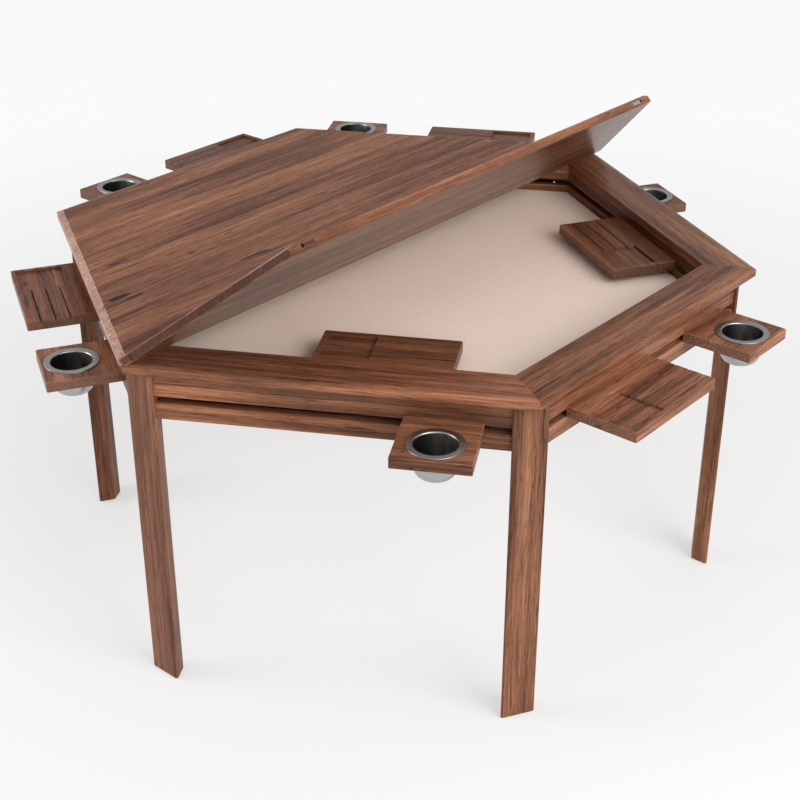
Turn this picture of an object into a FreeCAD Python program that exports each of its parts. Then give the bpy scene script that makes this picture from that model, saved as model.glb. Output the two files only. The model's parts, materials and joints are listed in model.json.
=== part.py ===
import FreeCAD, Part
import os
import Sketcher

# Hexagonal game table. Millimetres, +Z up, the origin on the floor under the table's centre.
# The front side runs along X and faces -Y. Every other side is the front side turned about Z.

os.makedirs("parts", exist_ok=True)
doc = FreeCAD.newDocument("hexagonal_game_table")
sheet = doc.addObject("Spreadsheet::Sheet", "Sizes")

DRIVING_SIZES = [
    ("table_height", 762, "floor to the top of the rim"),
    ("corner_radius", 800, "table centre to a corner of the rim"),
    ("rim_width", 100, "width of a rim board"),
    ("rim_thickness", 20, "thickness of a rim board"),
    ("rim_bevel_width", 12, "outer rim bevel, across"),
    ("rim_bevel_depth", 4, "outer rim bevel, down"),
    ("arris", 1.2, "small bevel on the long edges of boards"),
    ("apron_setback", 21, "rim edge to the outer face of apron and rail"),
    ("apron_thickness", 22, "thickness of aprons and rails"),
    ("outer_slot_drop", 72.5, "rim top to the top of the outer slot"),
    ("slot_height", 15, "height of the accessory slots"),
    ("rail_drop", 122, "rim top to the underside of the lower rail"),
    ("liner_thickness", 18, "thickness of the vault liners"),
    ("inner_slot_drop", 45, "rim top to the top of the inner slot"),
    ("mitre_gap", 0.2, "gap at the mitres of liners and bearers"),
    ("vault_depth", 76.5, "rim top to the felt"),
    ("felt_thickness", 3, "felt on the play board"),
    ("board_thickness", 15, "play board"),
    ("board_clearance", 0.5, "play board to liners"),
    ("bearer_thickness", 18, "height of a floor bearer"),
    ("bearer_ledge", 28, "width of the ledge under the play board"),
    ("beam_width", 60, "width of a cross beam"),
    ("beam_height", 25, "height of a cross beam"),
    ("beam_offset", 200, "table centre to the middle of a cross beam"),
    ("leg_setback", 34, "rim corner to the outer face of a leg"),
    ("leg_width", 80, "width of a leg's outer face"),
    ("leg_side", 42, "length of a leg's side face"),
    ("leg_outer_round", 4, "rounding of the outer leg edges"),
    ("leg_inner_round", 3, "rounding of the inner leg edges"),
    ("foot_bevel", 1.5, "bevel round a leg's foot"),
    ("glide_diameter", 22, "diameter of a leg glide"),
    ("glide_height", 2.5, "height of a leg glide"),
    ("glide_inset", 18, "leg's outer face to the middle of its glide"),
    ("block_wing", 45, "length of a corner block along the apron"),
    ("block_height", 45, "height of a corner block"),
    ("bolt_diameter", 8, "shank of a corner bolt"),
    ("bolt_head_diameter", 13, "head of a corner bolt"),
    ("bolt_head_height", 5, "height of a bolt head"),
    ("bolt_reach", 26, "how far a bolt goes into the leg"),
    ("bolt_drop", 12, "rim underside to the upper bolt"),
    ("bolt_spacing", 22, "distance between the two bolts of a corner"),
    ("bolt_clearance", 0.1, "radial clearance round a bolt"),
    ("leaf_overhang", 6, "how far the topper overhangs the rim"),
    ("leaf_thickness", 20, "thickness of a topper leaf"),
    ("leaf_bevel_width", 15, "outer leaf bevel, across"),
    ("leaf_bevel_depth", 5, "outer leaf bevel, down"),
    ("leaf_joint", 1, "gap between the two leaves"),
    ("folding_leaf_depth", 349, "hinge line to the free edge of the folding leaf"),
    ("fold_angle", 42, "how far the folding leaf stands open"),
    ("fold_gap", 0.75, "height of the hinge line above the leaf surface"),
    ("hinge_length", 80, "length of a hinge"),
    ("hinge_pitch", 520, "distance between hinges"),
    ("hinge_plate_height", 16, "hinge line to the lower edge of a plate"),
    ("hinge_plate_thickness", 2, "thickness of a hinge plate"),
    ("barrel_radius", 4, "radius of a hinge barrel"),
    ("barrel_clearance", 0.5, "barrel to the notch in the leaves"),
    ("middle_knuckle", 30, "length of the moving knuckle"),
    ("knuckle_gap", 0.3, "gap between knuckles"),
    ("pin_radius", 2, "radius of a hinge pin"),
    ("pin_clearance", 0.05, "radial clearance of a hinge pin"),
    ("plate_length", 36, "length of an edge plate"),
    ("plate_width", 8, "width of an edge plate"),
    ("plate_depth", 6, "how deep an edge plate is let in"),
    ("plate_inset", 50, "leaf corner to the middle of an edge plate"),
    ("tray_depth", 157, "table face to a tray's far edge"),
    ("high_tray_depth", 145, "table face to the far edge of a tray in a high slot"),
    ("tray_thickness", 22, "thickness of a tray"),
    ("tray_lift", 7, "tray top above the top of its slot"),
    ("tray_gap", 0.3, "tray to the faces that hold it"),
    ("tongue_length", 55, "length of a tray's tongue"),
    ("tongue_inset", 40, "end of an outer tray to the end of its tongue"),
    ("tray_corner_round", 3, "rounding of the tray corners"),
    ("tray_edge_bevel", 1.6, "bevel on the tray's upper edges"),
    ("cup_tray_width", 154, "width of a cup tray"),
    ("cup_tray_margin", 52.4, "leg to the end of the cup tray"),
    ("cup_inset", 62, "tray's far edge to the cup's middle"),
    ("cup_hole", 88, "hole for a cup"),
    ("cup_flange", 112, "diameter of a cup's flange"),
    ("cup_flange_height", 2.5, "height of a cup's flange"),
    ("cup_mouth", 84, "inner diameter of a cup's mouth"),
    ("cup_floor", 78, "inner diameter of a cup's floor before rounding"),
    ("cup_wall", 1.4, "thickness of a cup's wall"),
    ("cup_depth", 66, "tray top to the underside of a cup"),
    ("cup_round", 20, "inner rounding of a cup's floor"),
    ("flange_round", 0.8, "rounding of a cup's flange"),
    ("lip_round", 3, "rounding of a cup's mouth"),
    ("card_tray_width", 286, "width of a card tray"),
    ("card_tray_margin", 66.4, "leg to the end of the card tray"),
    ("high_near_margin", 9.7, "leg to the nearer tray in a high slot"),
    ("high_far_margin", 120.7, "leg to the further tray in a high slot"),
    ("high_draw", 26, "how far the trays on the back side are drawn out"),
    ("dish_size", 102, "length and width of a tray's dish"),
    ("dish_depth", 5.5, "depth of a dish"),
    ("dish_end_margin", 11.5, "dish to the end of its tray"),
    ("dish_edge_margin", 10, "dish to the far edge of its tray"),
    ("groove_width", 3, "width of a card groove"),
    ("groove_depth", 6, "depth of a card groove"),
    ("groove_spacing", 31, "distance between card grooves"),
    ("inner_front_margin", 128.5, "vault corner to the end of the front inner tray"),
    ("inner_back_margin", 113.3, "vault corner to the end of the back right inner tray"),
    ("inner_front_draw", 42, "how far the front inner tray is drawn out"),
    ("overrun", 5, "how far cutters run past a face"),
]

for row, (alias, size, meaning) in enumerate(DRIVING_SIZES, start=1):
    sheet.set(f"A{row}", meaning)
    sheet.set(f"B{row}", str(size))
    sheet.setAlias(f"B{row}", alias)
doc.recompute()

CORNERS = ["front_left", "front_right", "right", "back_right", "back_left", "left"]
SIDES = ["front", "front_right", "back_right", "back", "back_left", "front_left"]
corner_count = len(CORNERS)
full_turn = 360
side_turn = full_turn / corner_count
half_angle = side_turn / 2
first_corner_angle = side_turn - full_turn / 2
tolerance = 1e-6


def size(name):
    return f"Sizes.{name}"


# Heights above the floor, as formulas on the driving sizes.
rim_top = size("table_height")
rim_bottom = f"({rim_top} - Sizes.rim_thickness)"
outer_slot_top = f"({rim_top} - Sizes.outer_slot_drop)"
outer_slot_bottom = f"({outer_slot_top} - Sizes.slot_height)"
high_slot_bottom = f"({rim_bottom} - Sizes.slot_height)"
rail_bottom = f"({rim_top} - Sizes.rail_drop)"
inner_slot_top = f"({rim_top} - Sizes.inner_slot_drop)"
inner_slot_bottom = f"({inner_slot_top} - Sizes.slot_height)"
felt_top = f"({rim_top} - Sizes.vault_depth)"
board_top = f"({felt_top} - Sizes.felt_thickness)"
board_bottom = f"({board_top} - Sizes.board_thickness)"
hinge_height = f"({rim_top} + Sizes.leaf_thickness + Sizes.fold_gap)"

# Distances from the table's middle, square to a side.
rim_flat = f"(Sizes.corner_radius * cos({half_angle}))"
rim_inner_flat = f"({rim_flat} - Sizes.rim_width)"
apron_face = f"({rim_flat} - Sizes.apron_setback)"
apron_back = f"({apron_face} - Sizes.apron_thickness)"
liner_back = f"({rim_inner_flat} + Sizes.liner_thickness)"
vault_half = f"({rim_inner_flat} * tan({half_angle}))"
bearer_inner_flat = f"({rim_inner_flat} - Sizes.bearer_ledge)"

# A leg's section, with r out from the table's middle and w across.
leg_outer_r = "(Sizes.corner_radius - Sizes.leg_setback)"
leg_inner_r = f"({leg_outer_r} - Sizes.leg_side * cos({half_angle}))"
leg_outer_w = "(Sizes.leg_width / 2)"
leg_inner_w = f"({leg_outer_w} - Sizes.leg_side * sin({half_angle}))"
apron_half = f"({leg_outer_r} * sin({half_angle}) - {leg_outer_w} * cos({half_angle}))"

# The topper's outline.
leaf_flat = f"({rim_flat} + Sizes.leaf_overhang)"
leaf_radius = f"({leaf_flat} / cos({half_angle}))"


def value(formula):
    result = sheet.evalExpression(formula)
    return float(getattr(result, "Value", result))


def new_body(label, turn=0):
    body = doc.addObject("PartDesign::Body", label)
    body.Label = label
    body.AllowCompound = True
    body.Placement = FreeCAD.Placement(
        FreeCAD.Vector(), FreeCAD.Rotation(FreeCAD.Vector(0, 0, 1), turn)
    )
    return body


def new_sketch(body, name, plane, offset):
    sketch = body.newObject("Sketcher::SketchObject", f"{body.Name}_{name}")
    origin_plane = [item for item in body.Origin.OriginFeatures if item.Role == plane][0]
    sketch.AttachmentSupport = (origin_plane, [""])
    sketch.MapMode = "FlatFace"
    sketch.setExpression(".AttachmentOffset.Base.z", offset)
    return sketch


def pin_point(sketch, geometry, point, across, up):
    for kind, formula in (("DistanceX", across), ("DistanceY", up)):
        constraint = Sketcher.Constraint(kind, -1, 1, geometry, point, value(formula))
        index = sketch.addConstraint(constraint)
        sketch.setExpression(f"Constraints[{index}]", formula)


def add_outline(sketch, corners):
    """Closes a run of straight edges through corners given as pairs of formulas."""
    points = [FreeCAD.Vector(value(across), value(up), 0) for across, up in corners]
    first = sketch.GeometryCount
    count = len(points)
    for index in range(count):
        sketch.addGeometry(Part.LineSegment(points[index], points[(index + 1) % count]))
    for index in range(count):
        following = first + (index + 1) % count
        sketch.addConstraint(Sketcher.Constraint("Coincident", first + index, 2, following, 1))
        pin_point(sketch, first + index, 1, *corners[index])


def add_circle(sketch, across, up, radius):
    centre = FreeCAD.Vector(value(across), value(up), 0)
    circle = Part.Circle(centre, FreeCAD.Vector(0, 0, 1), value(radius))
    index = sketch.addGeometry(circle)
    pin_point(sketch, index, 3, across, up)
    constraint = sketch.addConstraint(Sketcher.Constraint("Radius", index, value(radius)))
    sketch.setExpression(f"Constraints[{constraint}]", radius)


def box_corners(left, right, low, high):
    return [(left, low), (right, low), (right, high), (left, high)]


def pad(body, sketch, length, reverse=False):
    feature = body.newObject("PartDesign::Pad", f"{sketch.Name}_pad")
    feature.Profile = sketch
    feature.setExpression("Length", length)
    feature.Reversed = reverse
    doc.recompute()
    return feature


def pocket(body, sketch, length, reverse=False):
    feature = body.newObject("PartDesign::Pocket", f"{sketch.Name}_pocket")
    feature.Profile = sketch
    feature.setExpression("Length", length)
    feature.Reversed = reverse
    before = body.Shape.Volume
    doc.recompute()
    if body.Shape.Volume >= before:
        raise RuntimeError(f"{sketch.Name} cuts nothing")
    return feature


def plate(label, corners, bottom, height, turn=0):
    """A body with one upright outline, from bottom up by height."""
    body = new_body(label, turn)
    sketch = new_sketch(body, "outline", "XY_Plane", bottom)
    add_outline(sketch, corners)
    pad(body, sketch, height)
    return body


def edge_names(shape, wanted):
    names = []
    for index, edge in enumerate(shape.Edges, start=1):
        if wanted(edge):
            names.append(f"Edge{index}")
    return names


def is_upright(edge):
    ends = [vertex.Point for vertex in edge.Vertexes]
    return len(ends) == 2 and (ends[1] - ends[0]).cross(FreeCAD.Vector(0, 0, 1)).Length < tolerance


def lies_at(edge, axis, distance):
    """Whether both ends of an edge are at a distance along one axis."""
    return all(abs(getattr(vertex.Point, axis) - distance) < tolerance for vertex in edge.Vertexes)


def fillet(body, wanted, radius):
    base = body.Tip
    feature = body.newObject("PartDesign::Fillet", f"{body.Name}_fillet")
    feature.Base = (base, edge_names(base.Shape, wanted))
    feature.setExpression("Radius", radius)
    doc.recompute()
    return feature


def chamfer(body, wanted, across, down=None, flip=False):
    base = body.Tip
    feature = body.newObject("PartDesign::Chamfer", f"{body.Name}_chamfer")
    feature.Base = (base, edge_names(base.Shape, wanted))
    feature.setExpression("Size", across)
    if down:
        feature.ChamferType = "Two distances"
        feature.setExpression("Size2", down)
        feature.FlipDirection = flip
    doc.recompute()
    return feature


def turn_round_table(body, features):
    """Repeats features once for each side, about the table's upright axis."""
    pattern = body.newObject("PartDesign::PolarPattern", f"{body.Name}_sides")
    pattern.Originals = features
    axis = [item for item in body.Origin.OriginFeatures if item.Role == "Z_Axis"][0]
    pattern.Axis = (axis, [""])
    pattern.Angle = full_turn
    pattern.Occurrences = corner_count
    body.Tip = pattern
    doc.recompute()


# Frame

def mitred_strip(inner, outer, gap="0"):
    """Outline of one side's strip between two distances, cut at the corners' mitre lines."""
    outer_half = f"({outer} * tan({half_angle}) - {gap} / 2)"
    inner_half = f"({inner} * tan({half_angle}) - {gap} / 2)"
    return [
        (f"-{outer_half}", f"-{outer}"),
        (outer_half, f"-{outer}"),
        (inner_half, f"-{inner}"),
        (f"-{inner_half}", f"-{inner}"),
    ]


def make_rim_board(index):
    """A flat board with a bevel along its outer upper edge, two small ones and mitred ends."""
    body = new_body(f"rim_board_{SIDES[index]}", side_turn * index)
    section = new_sketch(body, "section", "YZ_Plane", "-Sizes.corner_radius / 2")
    add_outline(section, [
        (f"-{rim_flat}", f"({rim_bottom} + Sizes.arris)"),
        (f"-({rim_flat} - Sizes.arris)", rim_bottom),
        (f"-{rim_inner_flat}", rim_bottom),
        (f"-{rim_inner_flat}", f"({rim_top} - Sizes.arris)"),
        (f"-({rim_inner_flat} + Sizes.arris)", rim_top),
        (f"-({rim_flat} - Sizes.rim_bevel_width)", rim_top),
        (f"-{rim_flat}", f"({rim_top} - Sizes.rim_bevel_depth)"),
    ])
    pad(body, section, size("corner_radius"))
    mitres = new_sketch(body, "mitres", "XY_Plane", rim_top)
    outer_half = "(Sizes.corner_radius / 2)"
    for sign in ("-", ""):
        add_outline(mitres, [
            (f"{sign}{outer_half}", f"-{rim_flat}"),
            (f"{sign}{outer_half}", f"-{rim_inner_flat}"),
            (f"{sign}{vault_half}", f"-{rim_inner_flat}"),
        ])
    pocket(body, mitres, size("rim_thickness"))
    return body


def make_rail(label, index, bottom, top):
    """A straight board between two legs, its outer long edges slightly bevelled."""
    corners = box_corners(f"-{apron_half}", apron_half, f"-{apron_face}", f"-{apron_back}")
    body = plate(label, corners, bottom, f"({top} - {bottom})", side_turn * index)
    face = value(apron_face)
    chamfer(body, lambda edge: not is_upright(edge) and lies_at(edge, "y", -face), size("arris"))
    return body


def make_leg(index):
    body = new_body(f"leg_{CORNERS[index]}", first_corner_angle + side_turn * index)
    section = new_sketch(body, "section", "XY_Plane", size("glide_height"))
    add_outline(section, [
        (leg_outer_r, f"-{leg_outer_w}"),
        (leg_outer_r, leg_outer_w),
        (leg_inner_r, leg_inner_w),
        (leg_inner_r, f"-{leg_inner_w}"),
    ])
    pad(body, section, f"({rim_bottom} - Sizes.glide_height)")
    middle = (value(leg_outer_r) + value(leg_inner_r)) / 2
    fillet(body, lambda edge: is_upright(edge) and edge.Vertexes[0].X > middle,
           size("leg_outer_round"))
    fillet(body, lambda edge: is_upright(edge) and edge.Vertexes[0].X < middle
           and abs(edge.Vertexes[0].Y) < value(leg_inner_w) + tolerance,
           size("leg_inner_round"))
    foot = value(size("glide_height"))
    chamfer(body, lambda edge: lies_at(edge, "z", foot), size("foot_bevel"))
    holes = bolt_circles(body, f"({leg_inner_r} + Sizes.bolt_reach)")
    pocket(body, holes, "(Sizes.bolt_reach + Sizes.overrun)")
    return body


upper_bolt = f"({rim_bottom} - Sizes.bolt_drop)"
lower_bolt = f"({upper_bolt} - Sizes.bolt_spacing)"


def bolt_circles(body, distance):
    sketch = new_sketch(body, "bolt_holes", "YZ_Plane", distance)
    for height in (upper_bolt, lower_bolt):
        add_circle(sketch, "0", height, "(Sizes.bolt_diameter / 2 + Sizes.bolt_clearance)")
    return sketch


# A corner block fills the space behind a leg, between the backs of two aprons.
block_wing_x = f"({apron_half} - Sizes.block_wing)"
block_inner_r = f"({block_wing_x} * sin({half_angle}) + {apron_back} * cos({half_angle}))"
block_wing_w = f"({apron_back} * sin({half_angle}) - {block_wing_x} * cos({half_angle}))"
block_heel_r = f"({apron_half} * sin({half_angle}) + {apron_back} * cos({half_angle}))"
block_heel_w = f"({apron_back} * sin({half_angle}) - {apron_half} * cos({half_angle}))"


def in_corner(body):
    """Turns a body that is drawn along +X to the first corner."""
    body.Placement = FreeCAD.Placement(
        FreeCAD.Vector(), FreeCAD.Rotation(FreeCAD.Vector(0, 0, 1), first_corner_angle)
    )


def make_corner_blocks():
    body = new_body("corner_blocks")
    outline = new_sketch(body, "outline", "XY_Plane", f"({rim_bottom} - Sizes.block_height)")
    add_outline(outline, [
        (block_inner_r, f"-{block_wing_w}"),
        (block_heel_r, f"-{block_heel_w}"),
        (leg_inner_r, f"-{leg_inner_w}"),
        (leg_inner_r, leg_inner_w),
        (block_heel_r, block_heel_w),
        (block_inner_r, block_wing_w),
    ])
    block = pad(body, outline, size("block_height"))
    holes = bolt_circles(body, f"({leg_inner_r} + Sizes.overrun)")
    drilled = pocket(body, holes, f"({leg_inner_r} - {block_inner_r} + 2 * Sizes.overrun)")
    turn_round_table(body, [block, drilled])
    in_corner(body)
    return body


def make_corner_bolts():
    body = new_body("corner_bolts")
    shanks = new_sketch(body, "shanks", "YZ_Plane", block_inner_r)
    heads = new_sketch(body, "heads", "YZ_Plane", f"({block_inner_r} - Sizes.bolt_head_height)")
    for height in (upper_bolt, lower_bolt):
        add_circle(shanks, "0", height, "(Sizes.bolt_diameter / 2)")
        add_circle(heads, "0", height, "(Sizes.bolt_head_diameter / 2)")
    shank = pad(body, shanks, f"({leg_inner_r} - {block_inner_r} + Sizes.bolt_reach)")
    head = pad(body, heads, size("bolt_head_height"))
    turn_round_table(body, [shank, head])
    in_corner(body)
    return body


def make_leg_glides():
    body = new_body("leg_glides")
    sketch = new_sketch(body, "outline", "XY_Plane", "0")
    add_circle(sketch, f"({leg_outer_r} - Sizes.glide_inset)", "0", "(Sizes.glide_diameter / 2)")
    glide = pad(body, sketch, size("glide_height"))
    turn_round_table(body, [glide])
    in_corner(body)
    return body


def make_ring(label, inner, outer, bottom, top):
    """Six separate mitred strips round the table."""
    body = new_body(label)
    sketch = new_sketch(body, "outline", "XY_Plane", bottom)
    add_outline(sketch, mitred_strip(inner, outer, size("mitre_gap")))
    strip = pad(body, sketch, f"({top} - {bottom})")
    turn_round_table(body, [strip])
    return body


def make_floor_bearers():
    """Strips along the lower rails that carry the play board and the lower liners."""
    body = new_body("floor_bearers")
    bottom = f"({board_bottom} - Sizes.bearer_thickness)"
    sketch = new_sketch(body, "outline", "XY_Plane", bottom)
    inner_half = f"({bearer_inner_flat} * tan({half_angle}) - Sizes.mitre_gap / 2)"
    add_outline(sketch, [
        (f"-{apron_half}", f"-{apron_back}"),
        (apron_half, f"-{apron_back}"),
        (inner_half, f"-{bearer_inner_flat}"),
        (f"-{inner_half}", f"-{bearer_inner_flat}"),
    ])
    bearer = pad(body, sketch, size("bearer_thickness"))
    turn_round_table(body, [bearer])
    return body


def make_cross_beams():
    """Two beams along X under the play board, cut to the slanted bearers at their ends."""
    body = new_body("cross_beams")
    sketch = new_sketch(body, "outline", "XY_Plane", f"({board_bottom} - Sizes.beam_height)")
    near = "(Sizes.beam_offset - Sizes.beam_width / 2)"
    far = "(Sizes.beam_offset + Sizes.beam_width / 2)"
    reach = f"({bearer_inner_flat} / cos({half_angle}))"
    near_half = f"({reach} - {near} * tan({half_angle}))"
    far_half = f"({reach} - {far} * tan({half_angle}))"
    for sign in ("-", ""):
        add_outline(sketch, [
            (f"-{near_half}", f"{sign}{near}"),
            (near_half, f"{sign}{near}"),
            (far_half, f"{sign}{far}"),
            (f"-{far_half}", f"{sign}{far}"),
        ])
    pad(body, sketch, size("beam_height"))
    return body


def hexagon(flat):
    radius = f"({flat} / cos({half_angle}))"
    corners = []
    for index in range(corner_count):
        angle = first_corner_angle + side_turn * index
        corners.append((f"({radius} * cos({angle}))", f"({radius} * sin({angle}))"))
    return corners


# Topper. Its leaves are drawn about the hinge line: X along the line, Z = 0 on the line.

joint_angle = side_turn
joint_edge = "(Sizes.leaf_joint / 2)"
leaf_top = "(-Sizes.fold_gap)"
leaf_bottom = "(-Sizes.fold_gap - Sizes.leaf_thickness)"
leaf_joint_half = f"({leaf_radius} - {joint_edge} * tan({half_angle}))"
folding_half = f"({leaf_radius} - Sizes.folding_leaf_depth * tan({half_angle}))"
HINGE_PLACES = ["-Sizes.hinge_pitch", "0", "Sizes.hinge_pitch"]


def hinge_span(place, half):
    return f"({place} - {half})", f"({place} + {half})"


def edge_offset(beyond):
    """Where a leaf's joint edge lies on the XZ plane's axis, which points to -Y."""
    return f"-{joint_edge}" if beyond else joint_edge


def cut_hinge_seats(body, beyond):
    """Mortises for the hinge plates and a round notch for each barrel."""
    half = "(Sizes.hinge_length / 2)"
    mortises = new_sketch(body, "mortises", "XZ_Plane", edge_offset(beyond))
    for place in HINGE_PLACES:
        left, right = hinge_span(place, half)
        add_outline(mortises, box_corners(left, right, "-Sizes.hinge_plate_height", leaf_top))
    pocket(body, mortises, size("hinge_plate_thickness"), reverse=not beyond)
    for number, place in enumerate(HINGE_PLACES):
        left, right = hinge_span(place, f"({half} + Sizes.knuckle_gap)")
        notch = new_sketch(body, f"notch_{number}", "YZ_Plane", right)
        add_circle(notch, "0", "0", "(Sizes.barrel_radius + Sizes.barrel_clearance)")
        pocket(body, notch, f"({right} - {left})")


def is_joint_edge(edge):
    return any(lies_at(edge, "y", sign * value(joint_edge)) for sign in (-1, 1))


def bevel_leaf(body, count):
    low = value(leaf_top) - tolerance
    inner = value(joint_edge) + tolerance
    free_edge = value(size("folding_leaf_depth"))

    def is_outer_top(edge):
        ends = [vertex.Point for vertex in edge.Vertexes]
        if len(ends) != 2 or min(end.z for end in ends) < low:
            return False
        along = abs(ends[0].y - ends[1].y) < tolerance
        is_joint = along and abs(ends[0].y) < inner
        is_free = along and ends[0].y < 0 and abs(abs(ends[0].y) - free_edge) < tolerance
        return not (is_joint or is_free)

    feature = chamfer(body, is_outer_top, size("leaf_bevel_width"), size("leaf_bevel_depth"),
                      flip=True)
    if len(feature.Base[1]) != count:
        raise RuntimeError(f"{body.Label} bevels {len(feature.Base[1])} edges")
    under = value(leaf_bottom)

    def is_small(edge):
        is_free = lies_at(edge, "y", -free_edge) and lies_at(edge, "z", value(leaf_top))
        return is_free or lies_at(edge, "z", under) and not is_joint_edge(edge)

    chamfer(body, is_small, size("arris"))


def on_hinge_line(body, opening=0):
    turn = FreeCAD.Rotation(FreeCAD.Vector(0, 0, 1), joint_angle)
    lift = FreeCAD.Rotation(FreeCAD.Vector(1, 0, 0), -opening)
    base = FreeCAD.Vector(0, 0, value(hinge_height))
    body.Placement = FreeCAD.Placement(base, turn.multiply(lift))


def make_main_leaf():
    body = new_body("main_leaf")
    sketch = new_sketch(body, "outline", "XY_Plane", leaf_bottom)
    add_outline(sketch, [
        (f"-{leaf_joint_half}", joint_edge),
        (leaf_joint_half, joint_edge),
        (f"({leaf_radius} / 2)", leaf_flat),
        (f"(-{leaf_radius} / 2)", leaf_flat),
    ])
    pad(body, sketch, size("leaf_thickness"))
    bevel_leaf(body, 3)
    cut_hinge_seats(body, True)
    on_hinge_line(body)
    return body


def edge_plate_outlines(sketch):
    middle_height = f"({leaf_bottom} + Sizes.leaf_thickness / 2)"
    low = f"({middle_height} - Sizes.plate_width / 2)"
    high = f"({middle_height} + Sizes.plate_width / 2)"
    place = f"({folding_half} - Sizes.plate_inset)"
    half = "(Sizes.plate_length / 2)"
    for sign in ("-", ""):
        left, right = hinge_span(f"{sign}{place}", half)
        add_outline(sketch, box_corners(left, right, low, high))


def make_folding_leaf():
    body = new_body("folding_leaf")
    sketch = new_sketch(body, "outline", "XY_Plane", leaf_bottom)
    add_outline(sketch, [
        (f"-{folding_half}", "-Sizes.folding_leaf_depth"),
        (folding_half, "-Sizes.folding_leaf_depth"),
        (leaf_joint_half, f"-{joint_edge}"),
        (f"-{leaf_joint_half}", f"-{joint_edge}"),
    ])
    pad(body, sketch, size("leaf_thickness"))
    bevel_leaf(body, 2)
    cut_hinge_seats(body, False)
    mortises = new_sketch(body, "edge_mortises", "XZ_Plane", size("folding_leaf_depth"))
    edge_plate_outlines(mortises)
    pocket(body, mortises, size("plate_depth"))
    on_hinge_line(body, value(size("fold_angle")))
    return body


def make_edge_plates():
    """Steel plates let flush into the folding leaf's free edge."""
    body = new_body("leaf_edge_plates")
    sketch = new_sketch(body, "outline", "XZ_Plane", size("folding_leaf_depth"))
    edge_plate_outlines(sketch)
    pad(body, sketch, size("plate_depth"), reverse=True)
    on_hinge_line(body, value(size("fold_angle")))
    return body


def make_hinge_plates(label, beyond, opening):
    """Half of each hinge: a plate on the leaf's edge and its knuckles round the pin."""
    body = new_body(label)
    half = "(Sizes.hinge_length / 2)"
    middle = "(Sizes.middle_knuckle / 2)"
    own_gap = f"({middle} + Sizes.knuckle_gap)"
    below_barrel = "(-Sizes.barrel_radius - Sizes.barrel_clearance)"
    plates = new_sketch(body, "plates", "XZ_Plane", edge_offset(beyond))
    low = "-Sizes.hinge_plate_height"
    spans = []
    for place in HINGE_PLACES:
        left, right = hinge_span(place, half)
        add_outline(plates, box_corners(left, right, low, below_barrel))
        if beyond:
            spans.append((left, f"({place} - {own_gap})"))
            spans.append((f"({place} + {own_gap})", right))
        else:
            spans.append(hinge_span(place, middle))
    pad(body, plates, size("hinge_plate_thickness"), reverse=beyond)
    for number, (left, right) in enumerate(spans):
        arm = new_sketch(body, f"arm_{number}", "XZ_Plane", edge_offset(beyond))
        add_outline(arm, box_corners(left, right, below_barrel, leaf_top))
        pad(body, arm, size("hinge_plate_thickness"), reverse=beyond)
        knuckle = new_sketch(body, f"knuckle_{number}", "YZ_Plane", left)
        add_circle(knuckle, "0", "0", size("barrel_radius"))
        pad(body, knuckle, f"({right} - {left})")
        bore = new_sketch(body, f"bore_{number}", "YZ_Plane", f"({right} + Sizes.overrun)")
        add_circle(bore, "0", "0", "(Sizes.pin_radius + Sizes.pin_clearance)")
        pocket(body, bore, f"({right} - {left} + 2 * Sizes.overrun)")
    on_hinge_line(body, opening)
    return body


def make_hinge_pins():
    body = new_body("hinge_pins")
    for number, place in enumerate(HINGE_PLACES):
        left, right = hinge_span(place, "(Sizes.hinge_length / 2)")
        sketch = new_sketch(body, f"pin_{number}", "YZ_Plane", left)
        add_circle(sketch, "0", "0", size("pin_radius"))
        pad(body, sketch, f"({right} - {left})")
    on_hinge_line(body)
    return body


# Trays. Each is drawn with its tongue towards +Y, its body from Y = 0 to -tray_depth and its
# top at Z = 0, then placed on its side. Inner trays are drawn mirrored. The two back sides have
# their slot right under the rim, so there the trays start at the rim's edge.

tongue_thickness = "(Sizes.slot_height - 2 * Sizes.tray_gap)"
tongue_top = "(-Sizes.tray_lift - Sizes.tray_gap)"
BACK, BACK_LEFT = SIDES.index("back"), SIDES.index("back_left")
HIGH_SLOTS = (BACK, BACK_LEFT)


def tray_far(index):
    depth = "Sizes.high_tray_depth" if index in HIGH_SLOTS else "Sizes.tray_depth"
    return f"(Sizes.tray_gap + {depth})"


def tongue_reach(index):
    setback = "Sizes.apron_setback" if index in HIGH_SLOTS else "0"
    return f"(Sizes.tongue_length + {setback})"


def make_tray_blank(label, index, width, away):
    body = new_body(label)
    sign = "-" if away else ""
    half = f"({width} / 2)"
    near, far = f"{sign}Sizes.tray_gap", f"{sign}{tray_far(index)}"
    slab = new_sketch(body, "slab", "XY_Plane", "-Sizes.tray_thickness")
    add_outline(slab, box_corners(f"-{half}", half, far, near))
    pad(body, slab, size("tray_thickness"))
    far_y = value(far)

    def is_far(edge):
        return all(abs(vertex.Y - far_y) < tolerance for vertex in edge.Vertexes)

    fillet(body, lambda edge: is_upright(edge) and is_far(edge), size("tray_corner_round"))

    def is_outer_top(edge):
        high = all(abs(vertex.Z) < tolerance for vertex in edge.Vertexes)
        near_y = value(near)
        at_table = all(abs(vertex.Y - near_y) < tolerance for vertex in edge.Vertexes)
        return high and not at_table

    chamfer(body, is_outer_top, size("tray_edge_bevel"))
    tongue = new_sketch(body, "tongue", "XY_Plane", f"({tongue_top} - {tongue_thickness})")
    back = tongue_reach(index) if away else f"-{tongue_reach(index)}"
    reach = f"({half} - Sizes.tongue_inset)" if away else half
    add_outline(tongue, box_corners(f"-{reach}", reach, near, back))
    pad(body, tongue, tongue_thickness)
    return body


def on_side(body, index, shift, distance, height):
    turn = FreeCAD.Rotation(FreeCAD.Vector(0, 0, 1), side_turn * index)
    place = FreeCAD.Vector(value(shift), -value(distance), value(height))
    body.Placement = FreeCAD.Placement(turn.multVec(place), turn)


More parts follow.
